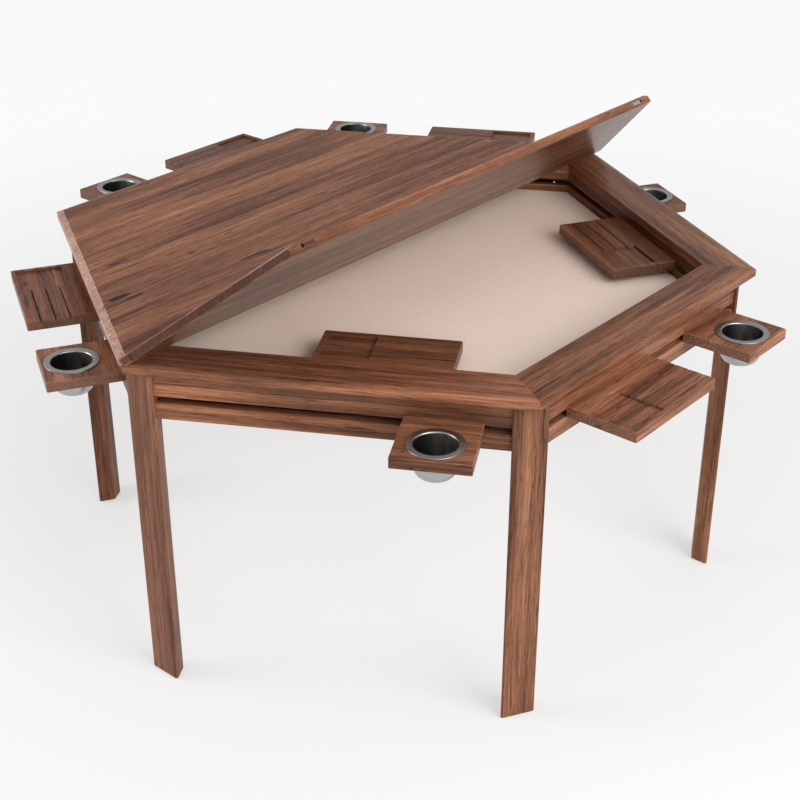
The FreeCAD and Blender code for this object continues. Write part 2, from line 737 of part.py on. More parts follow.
inner_tray_height = f"({inner_slot_top} + Sizes.tray_lift)"


def cup_y(index):
    return f"(-{tray_far(index)} + Sizes.cup_inset)"


def outer_place(index):
    """Distance and height of the trays on a side: below the apron or right under the rim."""
    if index not in HIGH_SLOTS:
        return apron_face, f"({outer_slot_top} + Sizes.tray_lift)"
    draw = "Sizes.high_draw" if index == BACK else "0"
    return f"({rim_flat} + {draw})", f"({rim_bottom} + Sizes.tray_lift)"


def cup_shift(index):
    margins = {BACK: "Sizes.high_near_margin", BACK_LEFT: "Sizes.high_far_margin"}
    margin = margins.get(index, "Sizes.cup_tray_margin")
    return f"({apron_half} - {margin} - Sizes.cup_tray_width / 2)"


def card_shift(index):
    margins = {BACK: "Sizes.high_far_margin", BACK_LEFT: "Sizes.high_near_margin"}
    margin = margins.get(index, "Sizes.card_tray_margin")
    return f"(-{apron_half} + {margin} + Sizes.card_tray_width / 2)"


def make_cup_tray(index):
    body = make_tray_blank(f"cup_tray_{SIDES[index]}", index, size("cup_tray_width"), True)
    hole = new_sketch(body, "hole", "XY_Plane", "0")
    add_circle(hole, "0", cup_y(index), "(Sizes.cup_hole / 2)")
    pocket(body, hole, size("tray_thickness"))
    on_side(body, index, cup_shift(index), *outer_place(index))
    return body


def make_cup(index):
    """A flanged steel cup that drops into its tray, turned from one profile."""
    body = new_body(f"cup_{SIDES[index]}")
    profile = new_sketch(body, "profile", "XZ_Plane", "0")
    mouth = "(Sizes.cup_mouth / 2)"
    floor = "(Sizes.cup_floor / 2)"
    floor_height = "(Sizes.cup_wall - Sizes.cup_depth)"
    add_outline(profile, [
        ("0", "-Sizes.cup_depth"),
        (f"({floor} + Sizes.cup_wall)", "-Sizes.cup_depth"),
        (f"({mouth} + Sizes.cup_wall)", "0"),
        ("(Sizes.cup_flange / 2)", "0"),
        ("(Sizes.cup_flange / 2)", size("cup_flange_height")),
        (mouth, size("cup_flange_height")),
        (floor, floor_height),
        ("0", floor_height),
    ])
    turned = body.newObject("PartDesign::Revolution", f"{body.Name}_turned")
    turned.Profile = profile
    turned.ReferenceAxis = (profile, ["V_Axis"])
    turned.Angle = full_turn
    doc.recompute()

    def is_circle_at(height, radius):
        def wanted(edge):
            if not isinstance(edge.Curve, Part.Circle):
                return False
            same_height = abs(edge.Curve.Center.z - value(height)) < tolerance
            return same_height and abs(edge.Curve.Radius - value(radius)) < tolerance
        return wanted

    fillet(body, is_circle_at(floor_height, floor), size("cup_round"))
    fillet(body, is_circle_at("-Sizes.cup_depth", f"({floor} + Sizes.cup_wall)"),
           "(Sizes.cup_round + Sizes.cup_wall)")
    fillet(body, is_circle_at(size("cup_flange_height"), "(Sizes.cup_flange / 2)"),
           size("flange_round"))
    fillet(body, is_circle_at(size("cup_flange_height"), mouth), size("lip_round"))
    distance, height = outer_place(index)
    on_side(body, index, cup_shift(index), f"({distance} - {cup_y(index)})", height)
    return body


def make_card_tray(label, index, shift, inner=False, draw="0"):
    body = make_tray_blank(label, index, size("card_tray_width"), not inner)
    sign = "" if inner else "-"
    half = "(Sizes.card_tray_width / 2)"
    dish_left = f"(-{half} + Sizes.dish_end_margin)"
    dish_right = f"({dish_left} + Sizes.dish_size)"
    dish_far = f"({tray_far(index)} - Sizes.dish_edge_margin)"
    dish_near = f"({dish_far} - Sizes.dish_size)"
    dish = new_sketch(body, "dish", "XY_Plane", "0")
    add_outline(dish, box_corners(dish_left, dish_right, f"{sign}{dish_near}", f"{sign}{dish_far}"))
    pocket(body, dish, size("dish_depth"))
    grooves = new_sketch(body, "grooves", "XY_Plane", "0")
    middle = f"(({dish_near} + {dish_far}) / 2)"
    for step in (-1, 0, 1):
        line = f"({middle} + {step} * Sizes.groove_spacing)"
        low = f"{sign}({line} - Sizes.groove_width / 2)"
        high = f"{sign}({line} + Sizes.groove_width / 2)"
        add_outline(grooves, box_corners(dish_right, half, low, high))
    pocket(body, grooves, size("groove_depth"))
    if inner:
        on_side(body, index, shift, f"({rim_inner_flat} - {draw})", inner_tray_height)
    else:
        on_side(body, index, shift, *outer_place(index))
    return body


# The whole table

parts = []
for number in range(corner_count):
    parts.append(make_leg(number))
for number in range(corner_count):
    parts.append(make_rim_board(number))
for number in range(corner_count):
    apron_top = high_slot_bottom if number in HIGH_SLOTS else rim_bottom
    parts.append(make_rail(f"upper_apron_{SIDES[number]}", number, outer_slot_top, apron_top))
for number in range(corner_count):
    parts.append(make_rail(f"lower_rail_{SIDES[number]}", number, rail_bottom, outer_slot_bottom))

parts.append(make_ring("upper_liners", rim_inner_flat, liner_back, inner_slot_top, rim_bottom))
parts.append(make_ring("lower_liners", rim_inner_flat, liner_back, board_bottom, inner_slot_bottom))
parts.append(make_floor_bearers())
parts.append(make_cross_beams())
board_flat = f"({rim_inner_flat} - Sizes.board_clearance)"
parts.append(plate("play_board", hexagon(board_flat), board_bottom, size("board_thickness")))
parts.append(plate("play_felt", hexagon(board_flat), board_top, size("felt_thickness")))
parts.append(make_corner_blocks())
parts.append(make_corner_bolts())
parts.append(make_leg_glides())

parts.append(make_main_leaf())
parts.append(make_folding_leaf())
parts.append(make_edge_plates())
parts.append(make_hinge_plates("hinge_fixed_plates", True, 0))
parts.append(make_hinge_plates("hinge_moving_plates", False, value(size("fold_angle"))))
parts.append(make_hinge_pins())

for number in range(corner_count):
    parts.append(make_cup_tray(number))
for number in range(corner_count):
    parts.append(make_cup(number))
for number in (1, 3, 4, 5):
    parts.append(make_card_tray(f"card_tray_{SIDES[number]}", number, card_shift(number)))
inner_front_shift = f"({vault_half} - Sizes.inner_front_margin - Sizes.card_tray_width / 2)"
inner_back_shift = f"(-{vault_half} + Sizes.inner_back_margin + Sizes.card_tray_width / 2)"
parts.append(make_card_tray("inner_card_tray_front", 0, inner_front_shift,
                            inner=True, draw=size("inner_front_draw")))
parts.append(make_card_tray("inner_card_tray_back_right", 2, inner_back_shift, inner=True))

doc.recompute()
for item in doc.Objects:
    if "Invalid" in item.State or "Error" in item.State:
        raise RuntimeError(f"{item.Label} failed: {item.State}")
for part in parts:
    if part.Shape.isNull() or not part.Shape.isValid():
        raise RuntimeError(f"{part.Label} has no valid shape")
for part in parts:
    part.Shape.exportStep(f"parts/{part.Label}.step")
    print(part.Label, len(part.Shape.Solids), round(part.Shape.Volume))
print(len(parts), "parts")
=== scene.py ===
# %% [markdown]
# A hexagonal game table in oiled walnut. Under a topper of two hinged leaves lies a sunken play
# area lined with felt, and cup trays and card trays hang in slots round the frame. The packed
# model already holds every board, hinge and cup at its real size, so this file gives them their
# finishes, lays real cloth over the play board and adds the small fittings that only show close up.

# %% Load the table
import json
import math

import bmesh
import bpy
from mathutils import Euler, Matrix, Vector


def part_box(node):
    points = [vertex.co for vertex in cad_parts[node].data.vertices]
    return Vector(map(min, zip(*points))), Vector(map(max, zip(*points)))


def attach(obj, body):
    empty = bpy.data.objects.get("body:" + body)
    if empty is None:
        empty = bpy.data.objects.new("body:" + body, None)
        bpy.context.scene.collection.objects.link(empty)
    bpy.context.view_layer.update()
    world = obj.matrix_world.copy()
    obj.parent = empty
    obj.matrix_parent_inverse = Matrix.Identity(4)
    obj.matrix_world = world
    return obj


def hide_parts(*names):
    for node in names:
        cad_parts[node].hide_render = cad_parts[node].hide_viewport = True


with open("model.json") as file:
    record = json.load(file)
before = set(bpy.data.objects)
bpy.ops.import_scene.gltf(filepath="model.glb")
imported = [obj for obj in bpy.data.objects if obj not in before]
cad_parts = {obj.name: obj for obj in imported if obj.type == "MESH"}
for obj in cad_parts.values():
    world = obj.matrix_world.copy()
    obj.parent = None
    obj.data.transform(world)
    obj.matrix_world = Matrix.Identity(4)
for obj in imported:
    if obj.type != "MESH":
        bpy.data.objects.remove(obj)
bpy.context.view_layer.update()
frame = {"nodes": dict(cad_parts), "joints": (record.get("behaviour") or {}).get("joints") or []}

nodes = frame["nodes"]
SIDES = ["front", "front_right", "back_right", "back", "back_left", "front_left"]
CORNERS = ["front_left", "front_right", "right", "back_right", "back_left", "left"]
side_count = len(SIDES)
side_turn = 2 * math.pi / side_count

# %% [markdown]
# The camera stands in front of the table, a little to the right, and looks down at it. Its place
# was worked out from the table's corners: the legs meet the floor and the rim's corners are known
# in millimetres, so a camera that puts them where the photograph has them is the one that took it.
# A long lens keeps the six legs from spreading.

# %% Camera
camera_data = bpy.data.cameras.new("camera")
camera_data.sensor_width = 36
camera_data.lens = 67.56
camera = bpy.data.objects.new("camera", camera_data)
camera.location = (0.5839, -3.0966, 2.0757)
look_down = math.radians(28.634)
look_left = math.radians(10.483)
camera.rotation_euler = Euler((math.pi / 2 - look_down, 0, look_left))
bpy.context.scene.collection.objects.link(camera)
bpy.context.scene.camera = camera
print("camera at", tuple(round(value, 3) for value in camera.location))

# %% [markdown]
# Every finish below is a small tree of shader nodes. Written out node by node such trees are long
# and hard to read, so one class wraps a socket and lets ordinary sums build the nodes: a Math node
# for numbers, a Vector Math node for directions. Every other node comes from one method.

# %% Sums on sockets
class Flow:
    """A socket whose value varies over a surface, and the sums that can be done with it."""

    def __init__(self, paint, socket):
        self.paint = paint
        self.socket = socket

    def is_vector(self):
        return self.socket.type == "VECTOR"

    def join(self, operation, first, second=None):
        given = [value for value in (first, second) if value is not None]
        vector = any(isinstance(value, Flow) and value.is_vector() for value in given)
        kind = "ShaderNodeVectorMath" if vector else "ShaderNodeMath"
        if vector:
            given = [(value,) * 3 if isinstance(value, (int, float)) else value for value in given]
        return self.paint.add(kind, {"operation": operation}, dict(enumerate(given)))

    def __add__(self, other):
        return self.join("ADD", self, other)

    __radd__ = __add__

    def __sub__(self, other):
        return self.join("SUBTRACT", self, other)

    def __rsub__(self, other):
        return self.join("SUBTRACT", other, self)

    def __mul__(self, other):
        return self.join("MULTIPLY", self, other)

    __rmul__ = __mul__

    def __truediv__(self, other):
        return self.join("DIVIDE", self, other)

    def apply(self, operation, other=None):
        return self.join(operation, self, other)

    def dot(self, other):
        settings = {"operation": "DOT_PRODUCT"}
        return self.paint.add("ShaderNodeVectorMath", settings, {0: self, 1: other}, "Value")

    def length(self):
        return self.paint.add("ShaderNodeVectorMath", {"operation": "LENGTH"}, {0: self}, "Value")

    def between(self, low, high, start=0.0, end=1.0):
        """Rises smoothly from start, where this is low, to end, where it is high."""
        settings = {"interpolation_type": "SMOOTHSTEP"}
        inputs = {"Value": self, "From Min": low, "From Max": high, "To Min": start, "To Max": end}
        return self.paint.add("ShaderNodeMapRange", settings, inputs)


class Paint:
    """One material, and the one method that adds nodes to it."""

    def __init__(self, name):
        self.material = bpy.data.materials.new(name)
        self.material.use_nodes = True
        self.tree = self.material.node_tree
        self.shader = self.tree.nodes["Principled BSDF"]

    def add(self, kind, settings=None, inputs=None, output=0):
        node = self.tree.nodes.new(kind)
        for key, value in (settings or {}).items():
            if key == "stops":
                self.set_stops(node.color_ramp, value)
            else:
                setattr(node, key, value)
        for key, value in (inputs or {}).items():
            self.feed(node.inputs[key], value)
        return Flow(self, node.outputs[output])

    def feed(self, socket, value):
        if isinstance(value, Flow):
            self.tree.links.new(value.socket, socket)
        else:
            socket.default_value = value

    def set_stops(self, ramp, stops):
        while len(ramp.elements) < len(stops):
            ramp.elements.new(0.5)
        for element, (place, colour) in zip(ramp.elements, stops):
            element.position = place
            element.color = (*colour, 1)

    def place(self):
        """The point being painted, in the table's own frame."""
        return self.add("ShaderNodeTexCoord", output="Object")

    def facing(self, normal="True Normal"):
        """The way the surface looks at the point being painted."""
        return self.add("ShaderNodeNewGeometry", output=normal)

    def vector(self, x, y, z):
        return self.add("ShaderNodeCombineXYZ", inputs={0: x, 1: y, 2: z})

    def parts(self, vector):
        """The x, y and z of a vector."""
        node = self.tree.nodes.new("ShaderNodeSeparateXYZ")
        self.feed(node.inputs[0], vector)
        return [Flow(self, socket) for socket in node.outputs]

    def noise(self, vector, detail=2.0, roughness=0.5):
        inputs = {"Vector": vector, "Scale": 1.0, "Detail": detail, "Roughness": roughness}
        return self.add("ShaderNodeTexNoise", {"noise_dimensions": "3D"}, inputs)

    def chance(self, number, output):
        """The same random value or colour for everything with the same number."""
        settings = {"noise_dimensions": "1D"}
        return self.add("ShaderNodeTexWhiteNoise", settings, {"W": number}, output)

    def ramp(self, value, stops):
        return self.add("ShaderNodeValToRGB", {"stops": stops}, {0: value})

    def mix(self, share, first, second, blend="MIX"):
        """Two colours mixed. A Mix node has such sockets for every kind of value, all named alike,
        so the ones for its factor and its colours are found by their place."""
        factor, colour_a, colour_b, result = 0, 6, 7, 2
        settings = {"data_type": "RGBA", "blend_type": blend}
        first = first if isinstance(first, Flow) else (*first, 1)
        second = second if isinstance(second, Flow) else (*second, 1)
        inputs = {factor: share, colour_a: first, colour_b: second}
        return self.add("ShaderNodeMix", settings, inputs, result)

    def bump(self, height, distance, strength=1.0):
        inputs = {"Height": height, "Distance": distance, "Strength": strength}
        return self.add("ShaderNodeBump", inputs=inputs)

    def finish(self, **values):
        """Sets sockets of the shader by name, with underscores for the spaces."""
        for key, value in values.items():
            self.feed(self.shader.inputs[key.replace("_", " ")], value)
        return self.material


print("shader sums ready")

# %% [markdown]
# The room is a white sweep, and its floor is one large pale plane. A catalogue picture has its
# background brightened afterwards. The floor does the same by itself: where the camera sees it,
# part of its colour is plain white, about half near the table, so that its shadow stays, and
# nearly all of it further away. The light that it throws back on the table is that of an ordinary
# pale floor.

# %% Floor
def link_mesh(name, mesh):
    piece = bpy.data.objects.new(name, mesh)
    bpy.context.scene.collection.objects.link(piece)
    return piece


floor_reach = 30.0
floor_mesh = bpy.data.meshes.new("floor")
floor_mesh.from_pydata(
    [(-floor_reach, -floor_reach, 0), (floor_reach, -floor_reach, 0),
     (floor_reach, floor_reach, 0), (-floor_reach, floor_reach, 0)], [], [(0, 1, 2, 3)])
floor = link_mesh("floor", floor_mesh)


def seen_by_camera(paint):
    """1 for what the camera sees, also in metal or through glass, and 0 for light on things."""
    ray = paint.tree.nodes.new("ShaderNodeLightPath")
    straight, mirrored, through = [
        Flow(paint, ray.outputs[f"Is {kind} Ray"]) for kind in ("Camera", "Glossy", "Transmission")]
    return straight.apply("MAXIMUM", mirrored).apply("MAXIMUM", through)


def brighten_floor(paint):
    """Mixes plain white into what the camera sees of the floor, by the distance from the table."""
    white = paint.add("ShaderNodeEmission", inputs={"Color": (0.985, 0.985, 0.985, 1)})
    distance = paint.place().length()
    near_share = distance.between(0.3, 0.9, 0.70, 0.48)
    far_share = distance.between(1.0, 3.6, 0.0, 0.44)
    share = seen_by_camera(paint) * (near_share + far_share)
    plain = Flow(paint, paint.shader.outputs[0])
    brightened = paint.add("ShaderNodeMixShader", inputs={0: share, 1: plain, 2: white})
    paint.feed(paint.tree.nodes["Material Output"].inputs["Surface"], brightened)


floor_paint = Paint("floor")
floor_paint.finish(Base_Color=(0.83, 0.83, 0.825, 1), Roughness=0.7, Specular_IOR_Level=0.1)
brighten_floor(floor_paint)
floor.data.materials.append(floor_paint.material)
print("floor", 2 * floor_reach, "m wide")

# %% [markdown]
# The light is what a big tent of cloth gives: an even white world and three wide panels. The one on
# the right is the strongest and shines in under the raised leaf, the one in front fills in the
# aprons, and the one on the left lights the left faces of the legs. All are wide, so shadows stay
# soft.

# %% World and lamps
world = bpy.data.worlds.new("white tent")
bpy.context.scene.world = world
world.use_nodes = True
backdrop = world.node_tree.nodes["Background"]
backdrop.inputs["Color"].default_value = (1, 1, 1, 1)
backdrop.inputs["Strength"].default_value = 0.58


def add_panel(name, place, size, power):
    """A square lamp that faces the middle of the table."""
    lamp = bpy.data.lights.new(name, "AREA")
    lamp.shape = "SQUARE"
    lamp.size = size
    lamp.energy = power
    panel = bpy.data.objects.new(name, lamp)
    panel.location = place
    aim = middle_of_table - Vector(place)
    panel.rotation_euler = aim.to_track_quat("-Z", "Y").to_euler()
    bpy.context.scene.collection.objects.link(panel)


middle_of_table = Vector((0, 0, 0.6))
add_panel("right_panel", (3.7, -2.7, 3.0), 3.4, 190)
add_panel("front_panel", (1.9, -4.6, 2.0), 2.6, 45)
add_panel("left_panel", (-4.3, -1.3, 1.6), 2.4, 105)
bpy.context.scene.view_settings.view_transform = "Standard"
print("world strength", backdrop.inputs["Strength"].default_value)

# %% [markdown]
# Walnut shows three things at once: broad dark and light streaks where the heartwood changes,
# narrower lines where the saw met the yearly rings, and short fine pores that run with the grain.
# A picture of wood would repeat and stretch, so the grain is worked out in three dimensions: noise
# that is drawn out along the board and squeezed across it. A board that is cut anywhere then shows
# the right thing, long lines on its faces and dots on its ends. The lines of equal value of a
# smooth stretched noise make the ring pattern, with its arches and islands. End grain drinks more
# oil and scatters more light, so faces that look along the grain turn to one even, speckled tone.
# Colours that are written from dark to pale are then multiplied by one shade, in which pores,
# streaks, knots, the plank's own tone and a board's own changes come together.

# %% Walnut
DARK = (0.030, 0.0110, 0.0062)
BROWN = (0.100, 0.0350, 0.0175)
MIDDLE = (0.200, 0.0770, 0.0380)
LIGHT = (0.305, 0.1290, 0.0670)
PALE = (0.460, 0.2260, 0.1280)
PALE_END = ((0.240, 0.1350, 0.1000), (0.470, 0.3000, 0.2400))
BROWN_END = ((0.080, 0.0340, 0.0200), (0.220, 0.1050, 0.0640))
DARK_END = ((0.030, 0.0110, 0.0065), (0.085, 0.0340, 0.0200))
# The layers of the grain: repeats to the metre along, across and through the board, then the
# detail and the roughness of the noise.
LAYERS = {
    "field": ((0.42, 11.0, 11.0), 1.0, 0.4),
    "broad": ((1.1, 26.0, 26.0), 2.0, 0.45),
    "middling": ((3.0, 120.0, 120.0), 2.0, 0.5),
    "fine": ((7.5, 300.0, 300.0), 3.0, 0.65),
    "pores": ((30.0, 480.0, 480.0), 2.0, 0.6),
    "streaks": ((1.5, 21.0, 21.0), 3.0, 0.6),
    "seams": ((1.7, 60.0, 60.0), 2.0, 0.55),
    "speckle": ((280.0, 420.0, 420.0), 3.0, 0.6),
}


def marks_on(paint, along, across, marks):
    """How dark knots and streaks make each point; each is (along, across, two halves, depth)."""
    wander = paint.noise(paint.vector(along * 45.0, across * 150.0, 0.0), 3.0, 0.6) - 0.5
    darkness = None
    for place_along, place_across, half_length, half_width, depth in marks:
        far_along = (along - place_along) / half_length
        far_across = (across - place_across) / half_width
        far = (far_along * far_along + far_across * far_across).apply("SQRT") + wander * 1.1
        dark = far.between(0.6, 1.0, depth, 0.0)
        darkness = darkness.apply("MAXIMUM", dark) if darkness else dark
    return darkness


def walnut_from(paint, along, across, through, end, cut):
    """Paints walnut whose grain runs with along; the three are distances in metres.

    end is 1 where the surface looks straight along the grain and 0 where it lies beside it.
    """
    seed = cut["seed"]
    plank_number = (across / cut["plank"]).apply("FLOOR")
    plank_tone = paint.chance(plank_number * 1.7 + seed + 3.3, "Value")
    plank_colour = paint.chance(plank_number + seed, "Color")
    settings = {"operation": "MULTIPLY"}
    shift = paint.add("ShaderNodeVectorMath", settings, {0: plank_colour, 1: (9.0, 5.0, 5.0)})
    point = paint.vector(along, across, through) + shift
    sway = paint.noise(point * (1.3, 5.0, 5.0), 2.0) - 0.5
    drift = paint.noise(point * (2.1, 3.5, 3.5), 1.0)
    grain_point = paint.vector(along, across + sway * 0.022, through) + shift
    layers = {name: paint.noise(grain_point * repeats, detail, roughness)
              for name, (repeats, detail, roughness) in LAYERS.items()}

    rings = (layers["field"] * 17.0).apply("FRACT")
    ring_line = rings.between(0.35, 0.93) * rings.between(0.94, 1.0, 1.0, 0.0)
    pores = layers["pores"].between(0.53, 0.66)
    dark_streak = layers["streaks"].between(0.58, 0.72)
    seam = layers["seams"] - 0.5
    somewhere = drift.between(0.42, 0.60)
    thin_line = seam.apply("ABSOLUTE").between(0.002, 0.014, 1.0, 0.0) * somewhere
    pale_line = (seam - 0.022).apply("ABSOLUTE").between(0.002, 0.012, 1.0, 0.0) * somewhere

    fine = layers["fine"]
    level = layers["broad"] * 0.46 + layers["middling"] * 0.22 + fine * 0.32
    colour = paint.ramp(level, [(0.32, DARK), (0.41, BROWN), (0.50, MIDDLE), (0.59, LIGHT),
                                (0.70, PALE)])
    if cut["end_zone"]:
        end = end.apply("MAXIMUM", cut["end_zone"](paint))
    end_dark, end_pale = cut["end_colours"]
    end_colour = paint.ramp(layers["speckle"], [(0.36, end_dark), (0.62, end_pale)])
    colour = paint.mix(end.between(0.45, 0.85) * 0.9, colour, end_colour)

    shade = 1.08 - ring_line * 0.17 - dark_streak * 0.34 - pores * 0.44
    shade = shade - thin_line * 0.55 + pale_line * 0.30
    shade = shade * (drift * 0.5 + 0.75)
    if cut["marks"]:
        shade = shade * (1.0 - marks_on(paint, along, across, cut["marks"]))
    shade = (shade * (plank_tone * 0.22 + 0.89)) * cut["tone"]
    for change in cut["changes"]:
        shade = shade * change(paint)
    grey = paint.vector(shade, shade, shade)
    colour = paint.mix(1.0, colour, grey, "MULTIPLY")
    height = fine * 0.5 - pores * 0.9 - ring_line * 0.25
    return paint.finish(
        Base_Color=colour,
        Roughness=(0.52 - fine * 0.16 + pores * 0.12),
        Specular_IOR_Level=0.14,
        Coat_Weight=(cut["gloss"] - pores * 0.08).apply("MAXIMUM", 0.0),
        Coat_Roughness=0.16,
        Coat_IOR=1.45,
        Normal=paint.bump(height, 0.00018, 0.55),
    )


def new_cut(seed, plank=0.5, tone=1.0, marks=(), gloss=0.12, end_colours=BROWN_END, changes=(),
            end_zone=None):
    """What one board adds to the species.

    seed is its place in the noise, plank the width of the planks it is glued up from, in metres.
    changes are makers of factors for the shade, and end_zone makes more of it show end grain.
    """
    return {"seed": seed, "plank": plank, "tone": tone, "marks": marks, "gloss": gloss,
            "end_colours": end_colours, "changes": changes, "end_zone": end_zone}


def walnut(name, origin, grain, face, cut):
    """Walnut with its grain along one direction; face is the way the board's wide face looks."""
    paint = Paint(name)
    grain = Vector(grain).normalized()
    face = Vector(face).normalized()
    across = face.cross(grain)
    here = paint.place() - tuple(origin)
    end = paint.facing().dot(tuple(grain)).apply("ABSOLUTE")
    distances = [here.dot(tuple(direction)) for direction in (grain, across, face)]
    return walnut_from(paint, *distances, end, cut)


def beyond_flat(inner_flat, factor):
    """A change further out than a distance, measured from the middle square to the nearest side."""
    def change(paint):
        here = paint.place()
        reach = here.dot(tuple(out_of_side(0))).apply("ABSOLUTE")
        for index in (1, 2):
            reach = reach.apply("MAXIMUM", here.dot(tuple(out_of_side(index))).apply("ABSOLUTE"))
        return reach.between(inner_flat, inner_flat + 0.0008, 1.0, factor)
    return change


def along_direction(direction, low, high, start, end):
    """A change from start to end between two distances along a direction."""
    def change(paint):
        return paint.place().dot(tuple(direction)).between(low, high, start, end)
    return change


def groove_painted_shade(top, low, high, factor):
    """Painted shade deeper than low to high under a board's top, as on the floor of a groove."""
    def change(paint):
        depth = top - paint.place().dot(tuple(UP))
        rise = paint.facing().dot(tuple(UP))
        return depth.between(low, high) * rise.between(0.5, 0.6) * (factor - 1.0) + 1.0
    return change


def facing_towards(direction, low, high, factor):
    """A change on faces that look along a direction."""
    def change(paint):
        return paint.facing().dot(tuple(direction)).between(low, high, 1.0, factor)
    return change


def bevel_painted_highlight(factor):
    """Painted highlight: paler faces that look up at a slant, like the small bevels round a board.
    """
    def change(paint):
        rise = paint.facing().dot(tuple(UP))
        return rise.between(0.45, 0.60) * rise.between(0.80, 0.90, 1.0, 0.0) * (factor - 1.0) + 1.0
    return change


def wear(node, material):
    """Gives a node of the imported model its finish."""
    materials = nodes[node].data.materials
    materials.clear()
    materials.append(material)


def side_direction(index):
    """Along a side, counting anticlockwise from the front."""
    angle = side_turn * index
    return Vector((math.cos(angle), math.sin(angle), 0))


def out_of_side(index):
    angle = side_turn * index - math.pi / 2
    return Vector((math.cos(angle), math.sin(angle), 0))


def middle_of(node):
    low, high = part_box(node)
    return (Vector(low) + Vector(high)) / 2


UP = Vector((0, 0, 1))
print("walnut from", DARK, "to", PALE, "in", len(LAYERS), "layers")

# %% [markdown]
# Each board gets its own cut of the wood. The rim boards and rails run round the hexagon, so their
# grain turns by sixty degrees from side to side and meets in mitres at the corners; legs have
# theirs upright. One material for all of them would run straight through the corners and give the
# trick away, so each node has its own, with its own place in the noise. The front rim board is
# painted darker at its left end, a painted shadow of the raised leaf, and gets paler towards the
# right as painted light; the apron under it has a painted reflection at its left end and painted
# shade further right.

# %% Boards of the frame
seed = 11.0
seed_step = 7.0
# Rim bevels are painted this much paler, as a painted highlight.
rim_bevel_highlight = 1.25
for index, side in enumerate(SIDES):
    grain = side_direction(index)
    outward = out_of_side(index)
    rim_painted_light = [bevel_painted_highlight(rim_bevel_highlight)]
    apron_painted_light = []
    # On the front the rim is painted darker at its left end, the raised leaf's painted shadow, and
    # brighter to the right as painted light; the apron gets a painted reflection at its left end,
    # fading to painted shade.
    if side == "front":
        rim_painted_light.append(along_direction(grain, -0.30, 0.25, 0.82, 1.45))
        apron_painted_light.append(along_direction(grain, -0.32, -0.05, 1.32, 0.58))
    boards = [
        (f"rim_board_{side}", UP, 1.0, 0.22, rim_painted_light),
        (f"upper_apron_{side}", outward, 1.0, 0.16, apron_painted_light),
        (f"lower_rail_{side}", outward, 1.05, 0.14, ()),
    ]
    for node, face, tone, gloss, changes in boards:
        seed += seed_step
        cut = new_cut(seed, tone=tone, gloss=gloss, changes=changes)
        wear(node, walnut(node, middle_of(node), grain, face, cut))
for index, corner in enumerate(CORNERS):
    angle = side_turn * index - 2 * math.pi / 3
    radial = Vector((math.cos(angle), math.sin(angle), 0))
    seed += seed_step
    node = f"leg_{corner}"
    cut = new_cut(seed, plank=0.3, tone=0.77, gloss=0.14)
    wear(node, walnut(node, middle_of(node), UP, radial, cut))
print("frame boards painted up to seed", seed)

# %% [markdown]
# The liners of the play area are one node with six boards, one for each side. Their grain has to
# turn from board to board inside a single material, so the shader first works out which of the six
# sides a point belongs to from its angle round the table, and measures along that side.

# %% Rings of boards
def ring_walnut(name, seed, tone, gloss):
    """Walnut for a node that holds one board on each side of the table."""
    paint = Paint(name)
    x, y, z = paint.parts(paint.place())
    angle = y.apply("ARCTAN2", x) + math.pi / 2
    side_number = (angle / side_turn).apply("ROUND")
    turn = side_number * side_turn
    cosine = turn.apply("COSINE")
    sine = turn.apply("SINE")
    along = x * cosine + y * sine + side_number * 3.7
    outward = x * sine - y * cosine
    end = paint.facing().dot(paint.vector(cosine, sine, 0.0)).apply("ABSOLUTE")
    return walnut_from(paint, along, z, outward, end, new_cut(seed, tone=tone, gloss=gloss))


wear("upper_liners", ring_walnut("upper_liners", 201.0, 0.95, 0.16))
wear("lower_liners", ring_walnut("lower_liners", 207.0, 0.95, 0.16))
wear("floor_bearers", ring_walnut("floor_bearers", 213.0, 0.95, 0.0))
wear("corner_blocks", ring_walnut("corner_blocks", 219.0, 1.0, 0.0))
for node in ("cross_beams", "play_board"):
    seed += seed_step
    cut = new_cut(seed, plank=0.12, tone=1.25, gloss=0.0)
    wear(node, walnut(node, (0, 0, 0), side_direction(0), UP, cut))
print("rings painted")

# %% [markdown]
# Between the liners and the aprons runs a hollow that the tongues of the trays reach into. A thin
# strip of walnut divides it between the two rows of slots, and a small block closes each end of an
# outer slot beside the leg, so that no daylight shows through the table's side. Strips and blocks
# are painted very dark, as painted shade in the hollow.

# %% Strips and blocks in the hollow
def add_plate(name, index, along_span, out_span, height_span):
    """A small board on one side of the table, its spans in metres along, out and up."""
    corners = []
    for height in height_span:
        for along, out in ((0, 0), (1, 0), (1, 1), (0, 1)):
            flat_place = (side_direction(index) * along_span[along]
                          + out_of_side(index) * out_span[out])
            corners.append(tuple(flat_place + UP * height))
    mesh = bpy.data.meshes.new(name)
    mesh.from_pydata(corners, [], [(0, 1, 2, 3), (7, 6, 5, 4), (0, 4, 5, 1), (1, 5, 6, 2),
                                   (2, 6, 7, 3), (3, 7, 4, 0)])
    board = bmesh.new()
    board.from_mesh(mesh)
    bmesh.ops.recalc_face_normals(board, faces=board.faces)
    bmesh.ops.bevel(board, geom=board.edges, offset=edge_round, segments=2, affect="EDGES")
    board.to_mesh(mesh)
    board.free()
    piece = link_mesh(name, mesh)
    piece.data.materials.append(painted_shade_walnut)
    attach(piece, "frame")


